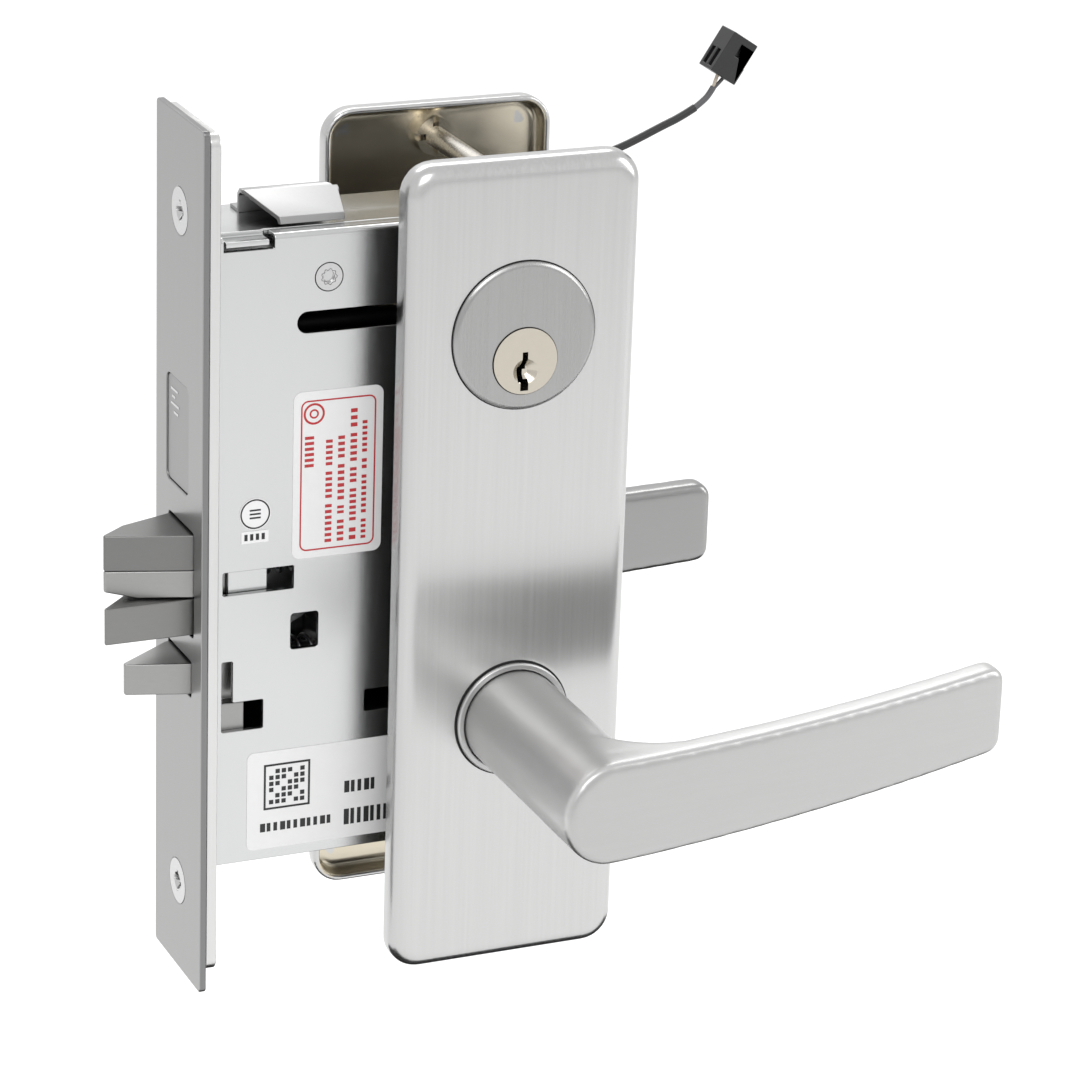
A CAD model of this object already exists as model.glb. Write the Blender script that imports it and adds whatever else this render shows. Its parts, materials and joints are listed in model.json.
"""Looks of an electrified mortise lock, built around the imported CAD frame. Units are metres."""
import bpy
import bmesh
import json
import math
from mathutils import Matrix, Vector

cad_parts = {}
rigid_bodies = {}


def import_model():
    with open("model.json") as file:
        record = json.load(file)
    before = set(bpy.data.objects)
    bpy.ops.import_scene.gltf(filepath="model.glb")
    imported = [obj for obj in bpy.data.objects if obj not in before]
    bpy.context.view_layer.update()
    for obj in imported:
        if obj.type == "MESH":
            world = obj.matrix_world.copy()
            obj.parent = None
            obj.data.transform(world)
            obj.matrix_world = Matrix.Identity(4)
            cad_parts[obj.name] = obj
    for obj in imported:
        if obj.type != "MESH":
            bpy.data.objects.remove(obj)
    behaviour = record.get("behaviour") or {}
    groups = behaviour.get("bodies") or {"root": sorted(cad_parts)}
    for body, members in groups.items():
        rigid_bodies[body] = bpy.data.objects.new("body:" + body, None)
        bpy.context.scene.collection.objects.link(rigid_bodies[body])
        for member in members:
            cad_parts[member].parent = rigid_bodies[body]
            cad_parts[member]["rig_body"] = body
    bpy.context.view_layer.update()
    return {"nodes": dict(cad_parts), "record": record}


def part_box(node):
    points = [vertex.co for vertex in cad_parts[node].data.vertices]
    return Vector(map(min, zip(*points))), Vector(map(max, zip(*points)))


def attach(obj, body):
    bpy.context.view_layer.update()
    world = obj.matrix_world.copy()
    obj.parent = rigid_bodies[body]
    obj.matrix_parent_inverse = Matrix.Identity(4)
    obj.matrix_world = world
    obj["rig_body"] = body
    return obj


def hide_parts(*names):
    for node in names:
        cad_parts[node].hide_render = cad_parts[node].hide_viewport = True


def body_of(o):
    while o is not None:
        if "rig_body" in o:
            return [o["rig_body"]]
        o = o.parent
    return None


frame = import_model()
NODES = frame["nodes"]
MM = 0.001

IMAGE_WIDTH_PX = 1080
FOCAL_PX = 4285
SENSOR_MM = 36
CAMERA_PLACE = (-0.2917, -0.8522, 0.3390)
CAMERA_TURNS = (24.04, 20.33, 1.98)
FLOOR_REACH = 6.0
FLOOR_LEVEL = -0.32
LIT_POINT = (0.07, 0, 0)
LIGHTS = (
    ("key_light", (-0.5, -1.1, 1.2), (0.9, 0.9), 9),
    ("side_light", (1.2, -0.6, 0.5), (0.5, 1.0), 6),
    ("back_light", (0.2, 1.2, 1.3), (1.4, 0.6), 10),
)


# ---------------------------------------------------------------- camera, light, floor
def place_camera():
    """Long lens from the upper left of the key side."""
    yaw, pitch, roll = (math.radians(angle) for angle in CAMERA_TURNS)
    ahead = Vector((math.sin(yaw) * math.cos(pitch), math.cos(yaw) * math.cos(pitch), -math.sin(pitch)))
    right = Vector((math.cos(yaw), -math.sin(yaw), 0))
    above = right.cross(ahead)
    right, above = (right * math.cos(roll) + above * math.sin(roll),
                    above * math.cos(roll) - right * math.sin(roll))
    data = bpy.data.cameras.new("camera")
    data.sensor_width = SENSOR_MM
    data.lens = SENSOR_MM * FOCAL_PX / IMAGE_WIDTH_PX
    data.clip_end = 20
    camera = bpy.data.objects.new("camera", data)
    camera.matrix_world = Matrix((
        (right.x, above.x, -ahead.x, CAMERA_PLACE[0]),
        (right.y, above.y, -ahead.y, CAMERA_PLACE[1]),
        (right.z, above.z, -ahead.z, CAMERA_PLACE[2]),
        (0, 0, 0, 1)))
    bpy.context.scene.collection.objects.link(camera)
    bpy.context.scene.camera = camera


def area_light(name, place, target, size, power):
    """Soft rectangular light that faces a point."""
    data = bpy.data.lights.new(name, "AREA")
    data.shape = "RECTANGLE"
    data.size, data.size_y = size
    data.energy = power
    light = bpy.data.objects.new(name, data)
    light.location = place
    light.rotation_euler = (Vector(target) - Vector(place)).to_track_quat("-Z", "Y").to_euler()
    bpy.context.scene.collection.objects.link(light)


def dark_card(name, place, target, size):
    """Black card that only reflections see."""
    mesh = bpy.data.meshes.new(name)
    wide, tall = size[0] / 2, size[1] / 2
    mesh.from_pydata([(-wide, -tall, 0), (wide, -tall, 0), (wide, tall, 0), (-wide, tall, 0)], [],
                     [(0, 1, 2, 3)])
    card = bpy.data.objects.new(name, mesh)
    card.location = place
    card.rotation_euler = (Vector(target) - Vector(place)).to_track_quat("-Z", "Y").to_euler()
    card.visible_camera = False
    card.visible_shadow = False
    bpy.context.scene.collection.objects.link(card)
    black = bpy.data.materials.new(name)
    black.use_nodes = True
    shader = black.node_tree.nodes["Principled BSDF"]
    shader.inputs["Base Color"].default_value = (0.01, 0.01, 0.01, 1)
    shader.inputs["Roughness"].default_value = 1.0
    mesh.materials.append(black)


def studio():
    """White surroundings, three soft lights, a black card and a pale floor well below the lock."""
    world = bpy.data.worlds.new("studio")
    bpy.context.scene.world = world
    world.use_nodes = True
    tree = world.node_tree
    tree.nodes["Background"].inputs["Color"].default_value = (1, 1, 1, 1)
    tree.nodes["Background"].inputs["Strength"].default_value = 1.0
    for name, place, size, power in LIGHTS:
        area_light(name, place, LIT_POINT, size, power)
    dark_card("low_card", (0.12, 0.06, -0.28), (0.12, 0.06, 0), (0.55, 0.30))
    mesh = bpy.data.meshes.new("floor")
    mesh.from_pydata([(x * FLOOR_REACH, y * FLOOR_REACH, FLOOR_LEVEL)
                      for x, y in ((-1, -1), (1, -1), (1, 1), (-1, 1))], [], [(0, 1, 2, 3)])
    floor = bpy.data.objects.new("floor", mesh)
    bpy.context.scene.collection.objects.link(floor)
    pale = bpy.data.materials.new("pale_floor")
    pale.use_nodes = True
    shader = pale.node_tree.nodes["Principled BSDF"]
    shader.inputs["Base Color"].default_value = (0.93, 0.93, 0.93, 1)
    shader.inputs["Roughness"].default_value = 0.9
    mesh.materials.append(pale)
    bpy.context.scene.view_settings.view_transform = "Standard"


place_camera()
studio()


# ---------------------------------------------------------------- materials
GRAIN_HEIGHT = 0.0001
# How squarely a face looks across the door, from 0 on the edges to 1 on the flats
FLAT_FROM, FLAT_FULL = 0.86, 0.97
SIDE_FULL, SIDE_UNTIL = 0.35, 0.9


def uneven(nodes, links, noise, colour, amount):
    """Colour that the noise makes darker and lighter by an amount."""
    tint = nodes.new("ShaderNodeMix")
    tint.data_type = "RGBA"
    tint.inputs["A"].default_value = (*[value * (1 - amount) for value in colour], 1)
    tint.inputs["B"].default_value = (*[min(1.0, value * (1 + amount)) for value in colour], 1)
    links.new(noise.outputs["Fac"], tint.inputs["Factor"])
    return tint.outputs["Result"]


def roughen(nodes, links, noise, shader, strength):
    """Lets the noise stand out from the surface."""
    raised = nodes.new("ShaderNodeBump")
    raised.inputs["Strength"].default_value = strength
    raised.inputs["Distance"].default_value = GRAIN_HEIGHT
    links.new(noise.outputs["Fac"], raised.inputs["Height"])
    links.new(raised.outputs["Normal"], shader.inputs["Normal"])


def metal(name, colour, rough, grain=(1, 1, 1), streak=0.05, rough_spread=0.04, bump=0.012, detail=1400,
          spread=0.0, faces_only=False, side_gain=1.0):
    """Satin metal whose grain is a noise stretched by the grain's scales. Spread widens its gloss one way,
    on the flat faces alone where faces_only is set. Faces that look along the door, not across it, are
    side_gain times as bright."""
    material = bpy.data.materials.new(name)
    material.use_nodes = True
    tree = material.node_tree
    nodes, links = tree.nodes, tree.links
    shader = nodes["Principled BSDF"]
    shader.inputs["Metallic"].default_value = 1.0
    if spread:
        shader.inputs["Anisotropic"].default_value = spread
        way = nodes.new("ShaderNodeTangent")
        way.direction_type = "RADIAL"
        way.axis = "Z"
        links.new(way.outputs["Tangent"], shader.inputs["Tangent"])
    place = nodes.new("ShaderNodeTexCoord")

    def by_facing(low, high, at_low, at_high):
        """Value that changes with how squarely a face looks across the door."""
        parts = nodes.new("ShaderNodeSeparateXYZ")
        links.new(place.outputs["Normal"], parts.inputs["Vector"])
        size = nodes.new("ShaderNodeMath")
        size.operation = "ABSOLUTE"
        links.new(parts.outputs["Y"], size.inputs[0])
        share = nodes.new("ShaderNodeMapRange")
        for name, value in (("From Min", low), ("From Max", high), ("To Min", at_low), ("To Max", at_high)):
            share.inputs[name].default_value = value
        links.new(size.outputs["Value"], share.inputs["Value"])
        return share.outputs["Result"]

    if faces_only:
        links.new(by_facing(FLAT_FROM, FLAT_FULL, 0.0, spread), shader.inputs["Anisotropic"])
    stretch = nodes.new("ShaderNodeMapping")
    stretch.inputs["Scale"].default_value = [detail * g for g in grain]
    links.new(place.outputs["Object"], stretch.inputs["Vector"])
    noise = nodes.new("ShaderNodeTexNoise")
    noise.inputs["Scale"].default_value = 1.0
    noise.inputs["Detail"].default_value = 5.0
    noise.inputs["Roughness"].default_value = 0.65
    links.new(stretch.outputs["Vector"], noise.inputs["Vector"])
    shade = uneven(nodes, links, noise, colour, streak)
    if side_gain != 1.0:
        lift = nodes.new("ShaderNodeVectorMath")
        lift.operation = "SCALE"
        links.new(shade, lift.inputs[0])
        links.new(by_facing(SIDE_FULL, SIDE_UNTIL, side_gain, 1.0), lift.inputs["Scale"])
        shade = lift.outputs["Vector"]
    links.new(shade, shader.inputs["Base Color"])
    gloss = nodes.new("ShaderNodeMapRange")
    gloss.inputs["To Min"].default_value = rough - rough_spread
    gloss.inputs["To Max"].default_value = rough + rough_spread
    links.new(noise.outputs["Fac"], gloss.inputs["Value"])
    links.new(gloss.outputs["Result"], shader.inputs["Roughness"])
    if bump:
        roughen(nodes, links, noise, shader, bump)
    return material


def plain(name, colour, rough, coat=0.0, mottle=0.04, detail=500, bump=0.0):
    """Paint, plastic or paper with a faint uneven tone."""
    material = bpy.data.materials.new(name)
    material.use_nodes = True
    nodes, links = material.node_tree.nodes, material.node_tree.links
    shader = nodes["Principled BSDF"]
    shader.inputs["Coat Weight"].default_value = coat
    shader.inputs["Roughness"].default_value = rough
    place = nodes.new("ShaderNodeTexCoord")
    noise = nodes.new("ShaderNodeTexNoise")
    noise.inputs["Scale"].default_value = detail
    noise.inputs["Detail"].default_value = 3.0
    links.new(place.outputs["Object"], noise.inputs["Vector"])
    links.new(uneven(nodes, links, noise, colour, mottle), shader.inputs["Base Color"])
    if bump:
        roughen(nodes, links, noise, shader, bump)
    return material


LOOKS = {
    "armor_steel": metal("armor_steel", (0.33, 0.33, 0.328), 0.32, (1, 1, 0.015), streak=0.08, spread=0.6),
    "case_zinc": metal("case_zinc", (0.54, 0.545, 0.545), 0.23, (0.4, 0.4, 0.05), streak=0.03,
                       spread=0.6),
    "escutcheon_satin": metal("escutcheon_satin", (0.50, 0.50, 0.497), 0.25, (1, 1, 0.012), streak=0.09,
                              bump=0.02, spread=0.85, faces_only=True),
    "lever_satin": metal("lever_satin", (0.43, 0.43, 0.427), 0.36, (0.03, 0.2, 0.5), streak=0.04,
                         rough_spread=0.03, bump=0.004, side_gain=1.3),
    "bolt_steel": metal("bolt_steel", (0.31, 0.31, 0.305), 0.35, (0.3, 1, 1)),
    "bolt_dark": metal("bolt_dark", (0.22, 0.22, 0.215), 0.38, (0.3, 1, 1)),
    "cylinder_satin": metal("cylinder_satin", (0.34, 0.34, 0.337), 0.28, (1, 1, 0.012), streak=0.08,
                            spread=0.6),
    "plug_nickel": metal("plug_nickel", (0.50, 0.465, 0.40), 0.24, (0.3, 1, 1), bump=0.004),
    "inner_nickel": metal("inner_nickel", (0.57, 0.52, 0.42), 0.25, (0.05, 0.05, 0.05)),
    "screw_steel": metal("screw_steel", (0.52, 0.52, 0.52), 0.22),
    "spring_steel": metal("spring_steel", (0.40, 0.40, 0.41), 0.30),
    "brass": metal("brass", (0.70, 0.52, 0.25), 0.30),
    "copper_winding": metal("copper_winding", (0.60, 0.28, 0.14), 0.35),
    "label_white": plain("label_white", (0.70, 0.70, 0.70), 0.35, mottle=0.02),
    "label_red": plain("label_red", (0.42, 0.02, 0.025), 0.4, mottle=0.08),
    "cable_black": plain("cable_black", (0.014, 0.014, 0.015), 0.42, bump=0.1),
    "wire_grey": plain("wire_grey", (0.075, 0.075, 0.08), 0.45, bump=0.1),
    "connector_black": plain("connector_black", (0.010, 0.010, 0.011), 0.38, bump=0.15, detail=1500),
}
PRINT_BLACK = plain("print_black", (0.012, 0.012, 0.013), 0.5)
WIRE_TAN = plain("wire_tan", (0.50, 0.44, 0.36), 0.45)
GAP_BLACK = plain("gap_black", (0.004, 0.004, 0.004), 0.8)
SLOTS = {part["node"]: part["material_slot"] for part in frame["record"]["subparts"]}
OWN_LOOKS = {
    "caution_label": LOOKS["label_white"],
    "blanking_plate": metal("blank_steel", (0.30, 0.30, 0.298), 0.34, (1, 1, 0.015), spread=0.6),
    "fixed_front": metal("fixed_steel", (0.58, 0.58, 0.575), 0.30, (1, 1, 0.015), spread=0.6),
    "wire_guard": metal("guard_steel", (0.34, 0.34, 0.34), 0.32, (1, 1, 1), bump=0.006),
    "cylinder_set_screw": metal("black_oxide", (0.01, 0.01, 0.01), 0.6),
    "latch_bolt_upper": metal("bolt_upper", (0.185, 0.185, 0.182), 0.36, (0.3, 1, 1)),
    "rear_lever": metal("rear_satin", (0.30, 0.30, 0.298), 0.30, (0.03, 0.2, 0.5), streak=0.03),
    "mounting_posts": metal("post_nickel", (0.62, 0.59, 0.54), 0.28),
}


def look_of(name):
    """Material that a CAD node shows."""
    return OWN_LOOKS.get(name, LOOKS[SLOTS[name]])


for name, node in NODES.items():
    node.data.materials.clear()
    node.data.materials.append(look_of(name))


# ---------------------------------------------------------------- pieces
JOIN_WITHIN = 0.002 * MM
FLAT_ANGLE = math.radians(0.4)
EDGE_ANGLE = math.radians(35)
ROUNDING_STEPS = 3
KEPT_FACES = 0.25


def add_piece(name, data, body, look):
    """A finished mesh or curve as a piece that rides on a body."""
    piece = bpy.data.objects.new(name, data)
    bpy.context.scene.collection.objects.link(piece)
    if look:
        data.materials.append(look)
    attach(piece, body)
    return piece


def eased(name, width, patch=None, patch_look=None):
    """Stands for a CAD node: the same shape with its sharp edges rounded by a width in millimetres.
    Faces that pass the patch test take the patch's look."""
    source = NODES[name]
    mesh = bpy.data.meshes.new(name + "_eased")
    work = bmesh.new()
    work.from_mesh(source.data)
    bmesh.ops.remove_doubles(work, verts=work.verts, dist=JOIN_WITHIN)
    for face in work.faces:
        face.smooth = True
        face.material_index = int(bool(patch and patch(face.calc_center_median(), face.normal)))
    bmesh.ops.dissolve_limit(work, angle_limit=FLAT_ANGLE, verts=work.verts, edges=work.edges,
                             delimit={"MATERIAL"})
    bmesh.ops.recalc_face_normals(work, faces=work.faces)
    work.to_mesh(mesh)
    work.free()
    piece = add_piece(name + "_eased", mesh, body_of(source)[0], look_of(name))
    if patch:
        mesh.materials.append(patch_look)
    rounding = piece.modifiers.new("rounding", "BEVEL")
    rounding.width = width * MM
    rounding.segments = ROUNDING_STEPS
    rounding.limit_method = "ANGLE"
    rounding.angle_limit = EDGE_ANGLE
    rounding.use_clamp_overlap = False
    evened = piece.modifiers.new("evened", "WEIGHTED_NORMAL")
    evened.mode = "FACE_AREA"
    evened.weight = 100
    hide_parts(name)
    return piece


def softened(name, cell, rounds, patch=None, patch_look=None):
    """Stands for a CAD node: its surface rebuilt on a fine grid and evened out, so that all its edges
    and blends are soft. Faces that pass the patch test take the patch's look."""
    source = NODES[name]
    draft = bpy.data.objects.new(name + "_draft", source.data.copy())
    draft.matrix_world = source.matrix_world
    bpy.context.scene.collection.objects.link(draft)
    grid = draft.modifiers.new("grid", "REMESH")
    grid.mode = "VOXEL"
    grid.voxel_size = cell * MM
    grid.use_smooth_shade = True
    even = draft.modifiers.new("even", "SMOOTH")
    even.factor = 0.5
    even.iterations = rounds
    fewer = draft.modifiers.new("fewer", "DECIMATE")
    fewer.ratio = KEPT_FACES
    graph = bpy.context.evaluated_depsgraph_get()
    mesh = bpy.data.meshes.new_from_object(draft.evaluated_get(graph))
    mesh.name = name + "_soft"
    bpy.data.objects.remove(draft)
    mesh.materials.clear()
    piece = add_piece(name + "_soft", mesh, body_of(source)[0], look_of(name))
    if patch:
        mesh.materials.append(patch_look)
        for face in mesh.polygons:
            face.material_index = int(patch(face.center, face.normal))
    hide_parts(name)
    return piece


def flat_piece(name, loops, front, thick, look, body="case"):
    """Thin plates that face -Y: each loop is a ring of (x, z) points, or a pair of rings for a frame."""
    mesh = bpy.data.meshes.new(name)
    work = bmesh.new()
    for loop in loops:
        rings = loop if isinstance(loop[0], list) else [loop]
        layers = [[[work.verts.new((x, depth, z)) for x, z in ring] for ring in rings]
                  for depth in (front, front + thick)]
        count = len(rings[0])
        for index in range(count):
            after = (index + 1) % count
            for ring in range(len(rings)):
                a, b = layers[0][ring], layers[1][ring]
                work.faces.new((a[index], b[index], b[after], a[after]))
            if len(rings) == 2:
                for layer in layers:
                    work.faces.new((layer[0][index], layer[0][after], layer[1][after], layer[1][index]))
        if len(rings) == 1:
            for layer in layers:
                work.faces.new(layer[0])
    bmesh.ops.recalc_face_normals(work, faces=work.faces)
    work.to_mesh(mesh)
    work.free()
    return add_piece(name, mesh, body, look)


def oblong(left, low, right, high, corner, steps=6):
    """Ring of points of a rectangle with round corners."""
    ring = []
    for x, z, first in ((right - corner, high - corner, 0), (left + corner, high - corner, 90),
                        (left + corner, low + corner, 180), (right - corner, low + corner, 270)):
        for step in range(steps + 1):
            angle = math.radians(first + 90 * step / steps)
            ring.append((x + corner * math.cos(angle), z + corner * math.sin(angle)))
    return ring


def circle(x, z, radius, steps=48):
    """Ring of points of a circle."""
    return [(x + radius * math.cos(2 * math.pi * step / steps),
             z + radius * math.sin(2 * math.pi * step / steps)) for step in range(steps)]


def bar(left, low, right, high):
    """Ring of points of a plain rectangle."""
    return [(left, low), (right, low), (right, high), (left, high)]


# ---------------------------------------------------------------- cable
CABLE = [(92, 0, 76.1), (92, 0, 78.7), (93.15, 0, 81.25), (95.3, 0, 83.2), (98.7, 0, 84.45),
         (104.6, 0, 85.9), (109.9, 0, 88.0), (115.2, 0, 90.3), (119.8, 0, 92.1), (123.2, 0, 94.0)]
SLEEVE = [(123.2, 0, 94.0), (125.7, 0, 95.7), (127.2, 0, 97.7), (127.7, 0, 98.6)]
WIRES = {
    "wire_left": [(127.5, 0, 98.0), (127.9, 0.1, 99.2), (128.3, 0.1, 100.5), (128.7, 0.1, 101.4)],
    "wire_right": [(127.5, -0.1, 98.0), (128.5, -0.1, 99.0), (129.3, -0.1, 99.8), (130.0, -0.1, 100.5)],
}
CABLE_RADIUS, SLEEVE_RADIUS, WIRE_RADIUS = 0.9, 0.72, 0.42


def strand(name, route, radius, look):
    """Round strand whose line follows a route in millimetres."""
    curve = bpy.data.curves.new(name, "CURVE")
    curve.dimensions = "3D"
    curve.bevel_depth = radius * MM
    curve.bevel_resolution = 6
    curve.resolution_u = 10
    curve.use_fill_caps = True
    spline = curve.splines.new("NURBS")
    spline.points.add(len(route) - 1)
    for point, place in zip(spline.points, route):
        point.co = (*[value * MM for value in place], 1)
    spline.order_u = 3
    spline.use_endpoint_u = True
    return add_piece(name, curve, "case", look)


def cable():
    """Black cable from the gland, its grey sleeve and two thin wires to the plug."""
    line = strand("cable_line", CABLE, CABLE_RADIUS, LOOKS["cable_black"])
    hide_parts("cable")
    sleeve = strand("cable_sleeve", SLEEVE, SLEEVE_RADIUS, LOOKS["wire_grey"])
    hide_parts("cable_wires")
    extras = [sleeve, eased("connector_housing", 0.25)]
    for name, route in WIRES.items():
        extras.append(strand(name, route, WIRE_RADIUS,
                             WIRE_TAN if name == "wire_left" else LOOKS["wire_grey"]))


cable()


# ---------------------------------------------------------------- rounded edges
EASED = {
    "fixed_front": 0.3, "case_body": 0.3, "case_cap": 0.2, "blanking_plate": 0.3,
    "latch_bolt_upper": 0.4, "latch_bolt_lower": 0.4, "anti_friction_wedge": 0.35, "guard_bolt": 0.35,
    "wire_guard": 0.15, "cylinder_body": 0.25,
    "front_bearing_ring": 0.45, "rear_bearing_ring": 0.45, "armor_screws": 0.12, "cap_screws": 0.12,
    "through_screws": 0.2, "front_set_screw": 0.15, "rear_set_screw": 0.15,
}
for name, width in EASED.items():
    eased(name, width)
eased("armor_front", 0.3, lambda centre, normal: abs(normal.x) < 0.5,
      metal("armor_side", (0.20, 0.20, 0.20), 0.32, (1, 1, 0.015), spread=0.6))


PLATE_CORNER = 7.2 * MM
PLATE_INSET = 1.25 * MM
PLATE_CELL, PLATE_ROUNDS = 0.45, 12
LEVER_CELL, LEVER_ROUNDS = 0.6, 14


def inside_plate(name, outward):
    """Test for the faces inside an escutcheon's hollow."""
    low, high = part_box(name)
    inset = PLATE_INSET
    level = high.y - inset if outward > 0 else low.y + inset
    middle, half, corner = (low + high) / 2, (high - low) / 2, PLATE_CORNER

    def round_corner(centre, normal):
        """Whether a face is on the outside of the outline's round corners."""
        away = centre - middle
        return (half.x - abs(away.x) < corner and half.z - abs(away.z) < corner
                and away.x * normal.x + away.z * normal.z > 0)

    def test(centre, normal):
        within = (low.x + inset < centre.x < high.x - inset and low.z + inset < centre.z < high.z - inset)
        return within and (level - centre.y) * outward > 0 and not round_corner(centre, normal)
    return test


softened("front_escutcheon", PLATE_CELL, PLATE_ROUNDS, inside_plate("front_escutcheon", -1),
         metal("plate_hollow", (0.03, 0.028, 0.023), 0.35, (0.05, 0.05, 0.05)))
softened("rear_escutcheon", PLATE_CELL, PLATE_ROUNDS, inside_plate("rear_escutcheon", 1),
         LOOKS["inner_nickel"])
softened("front_lever", LEVER_CELL, LEVER_ROUNDS)
softened("rear_lever", LEVER_CELL, LEVER_ROUNDS)


# ---------------------------------------------------------------- labels and marks
PRINT = 0.03 * MM
CAP_SCREW_RADIUS = 3.2 * MM
CAP_SCREW_PLACE = (30.2 * MM, 66 * MM)
RING_STEPS = 96
# Columns of the caution label in millimetres: offset, width and the lengths of the words
CAUTION_COLUMNS = (
    (1.0, 2.4, (7.8,)), (6.0, 1.75, (9.6, 6.8, 6.6)), (8.9, 1.75, (5.6, 2.4, 9.0, 5.8)),
    (11.8, 1.75, (3.6, 8.2, 4.1, 7.2, 5.0)), (14.6, 1.3, (5.2, 9.6, 3.0, 8.0, 4.6)),
)
# Rows of the data label in millimetres: start, base and height, then how many dashes
DATA_ROWS = ((3.2, 4.2, 2.1, 11), (23.6, 11.2, 2.9, 5), (23.6, 3.2, 3.9, 13))
# Strokes of the blanking plate in millimetres: distance from the head, start and reach
BLANK_STROKES = ((3.2, 2.2, 4.6), (4.9, 3.0, 2.2), (6.6, 2.2, 5.4), (8.4, 4.2, 3.0))


def caution_label():
    """White label with a red round-cornered border, a ring sign and rows of plain dashes."""
    low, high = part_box("caution_label")
    front = low.y - PRINT
    left, bottom, right, top = low.x + 1.7 * MM, low.z + 1.7 * MM, high.x - 1.7 * MM, high.z - 2.1 * MM
    line = 0.36 * MM
    frame_loop = [oblong(left, bottom, right, top, 1.7 * MM),
                  oblong(left + line, bottom + line, right - line, top - line, 1.7 * MM - line)]
    ring_x, ring_z = left + 3.1 * MM, top - 3.2 * MM
    loops = [frame_loop,
             [circle(ring_x, ring_z, 2.5 * MM), circle(ring_x, ring_z, 2.0 * MM)],
             [circle(ring_x, ring_z, 1.1 * MM), circle(ring_x, ring_z, 0.7 * MM)]]
    start = bottom + 1.6 * MM
    for column, (offset, width, words) in enumerate(CAUTION_COLUMNS):
        level = start + (18.2 * MM if column == 0 else 0)
        for word in words:
            reach = word * MM
            if level + reach < top - 1.2 * MM:
                dash_left = left + offset * MM
                cells = max(2, int(word / 1.3))
                pitch = reach / cells
                for cell in range(cells):
                    loops.append(bar(dash_left, level + cell * pitch, dash_left + width * MM * 0.9,
                                     level + (cell + 0.55) * pitch))
            level += reach + 0.9 * MM
    flat_piece("caution_print", loops, front, PRINT, LOOKS["label_red"])


def data_label():
    """White label with a block of plain squares and rows of plain dashes."""
    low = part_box("data_label")[0]
    front = low.y - PRINT
    loops = []
    side, left, bottom = 11.2 * MM, low.x + 4.0 * MM, low.z + 9.6 * MM
    loops.append([bar(left, bottom, left + side, bottom + side),
                  bar(left + 0.5 * MM, bottom + 0.5 * MM, left + side - 0.5 * MM, bottom + side - 0.5 * MM)])
    for row in range(6):
        for column in range(6):
            if (row * 5 + column * 3) % 4 != 1:
                x = left + (1.3 + 1.5 * column) * MM
                z = bottom + (1.3 + 1.5 * row) * MM
                loops.append(bar(x, z, x + 1.05 * MM, z + 1.05 * MM))
    for start, base, height, cells in DATA_ROWS:
        for cell in range(cells):
            x = low.x + (start + cell * 1.62) * MM
            loops.append(bar(x, low.z + base * MM, x + (0.9 + 0.35 * (cell % 3 == 0)) * MM,
                             low.z + (base + height) * MM))
    flat_piece("data_print", loops, front, PRINT, PRINT_BLACK)


def mark_sticker():
    """Round sticker with a black ring and a plain sign, and a small patch under it."""
    low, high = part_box("mark_sticker")
    x, z = (low.x + high.x) / 2, (low.z + high.z) / 2
    front = low.y - PRINT
    loops = [[circle(x, z, 3.5 * MM), circle(x, z, 3.15 * MM)],
             bar(x - 1.3 * MM, z - 0.2 * MM, x + 1.3 * MM, z + 0.2 * MM),
             bar(x - 1.3 * MM, z + 0.7 * MM, x + 1.3 * MM, z + 1.1 * MM),
             bar(x - 1.3 * MM, z - 1.1 * MM, x + 1.3 * MM, z - 0.7 * MM)]
    patch_z = z - 5.4 * MM
    for cell in range(4):
        left = x + (-2.5 + 1.35 * cell) * MM
        loops.append(bar(left, patch_z - 0.75 * MM, left + 0.75 * MM, patch_z + 0.75 * MM))
    flat_piece("mark_patch", [bar(x - 3.2 * MM, patch_z - 1.4 * MM, x + 3.2 * MM, patch_z + 1.4 * MM)],
               low.y, high.y - low.y, LOOKS["label_white"])
    flat_piece("mark_print", loops, front, PRINT, PRINT_BLACK)


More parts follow.
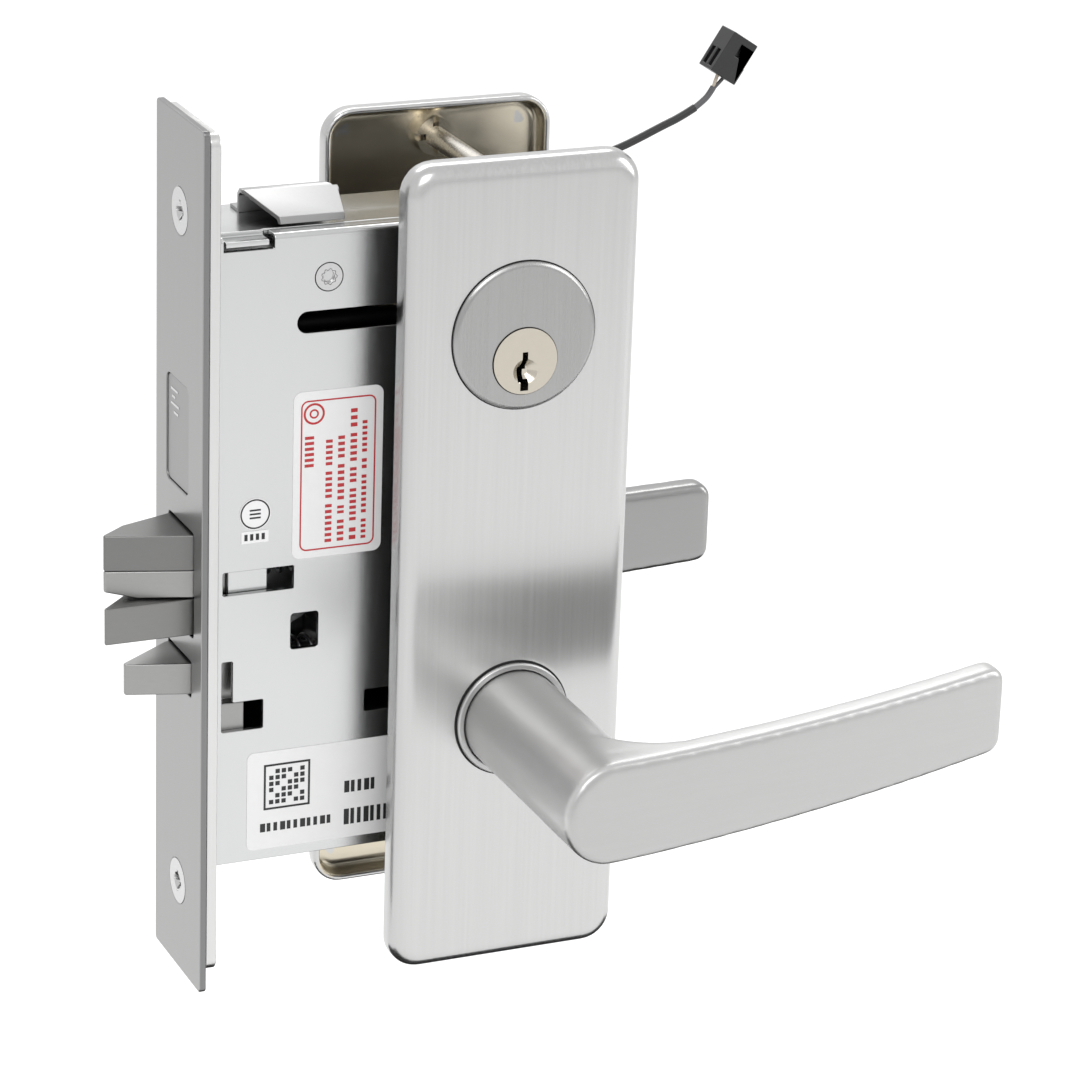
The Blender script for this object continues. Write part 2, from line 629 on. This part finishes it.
def shadow_gaps():
    """Dark hairline gaps round the flush screws of the cap and round the front bearing ring."""
    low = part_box("case_cap")[0]
    radius = CAP_SCREW_RADIUS
    x, z = CAP_SCREW_PLACE
    loops = [[circle(x, z, radius + 0.12 * MM), circle(x, z, radius - 0.06 * MM)]]
    toothed = [[(x + reach * math.cos(turn), z + reach * math.sin(turn))
                for turn, reach in ((2 * math.pi * step / 72, (size + 0.17 * math.cos(
                    2 * math.pi * step / 8)) * MM) for step in range(72))] for size in (1.75, 1.62)]
    loops.append(toothed)
    flat_piece("cap_screw_gap", loops, low.y - 0.01 * MM, 0.01 * MM, GAP_BLACK)
    plate_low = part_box("front_escutcheon")[0]
    rings = []
    for name, gap in (("front_bearing_ring", 0.45), ("cylinder_body", 0.28)):
        ring_low, ring_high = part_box(name)
        x, z = (ring_low.x + ring_high.x) / 2, (ring_low.z + ring_high.z) / 2
        radius = (ring_high.x - ring_low.x) / 2
        rings.append([circle(x, z, radius + gap * MM, RING_STEPS),
                      circle(x, z, radius - 0.5 * MM, RING_STEPS)])
    flat_piece("plate_gaps", rings, plate_low.y - 0.02 * MM, 0.02 * MM, GAP_BLACK)
    plug_low, plug_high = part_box("cylinder_plug")
    face_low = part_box("cylinder_body")[0]
    x, z = (plug_low.x + plug_high.x) / 2, (plug_low.z + plug_high.z) / 2
    radius = (plug_high.x - plug_low.x) / 2
    ring = [circle(x, z, radius + 0.2 * MM, RING_STEPS), circle(x, z, radius + 0.01 * MM, RING_STEPS)]
    flat_piece("plug_gap", [ring],
               face_low.y - 0.02 * MM, 0.02 * MM, GAP_BLACK)


def blank_marks():
    """Raised plain strokes at the head of the blanking plate."""
    low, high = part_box("blanking_plate")
    mesh = bpy.data.meshes.new("blank_marks")
    work = bmesh.new()
    for rise, start, reach in BLANK_STROKES:
        centre = Vector((low.x - 0.02 * MM, high.y - (start + reach / 2) * MM, high.z - rise * MM))
        scale = Matrix.Diagonal((0.14 * MM, reach * MM, 0.55 * MM, 1))
        bmesh.ops.create_cube(work, size=1, matrix=Matrix.Translation(centre) @ scale)
    work.to_mesh(mesh)
    work.free()
    add_piece("blank_marks", mesh, "case", LOOKS["screw_steel"])


caution_label()
blank_marks()
data_label()
mark_sticker()
shadow_gaps()
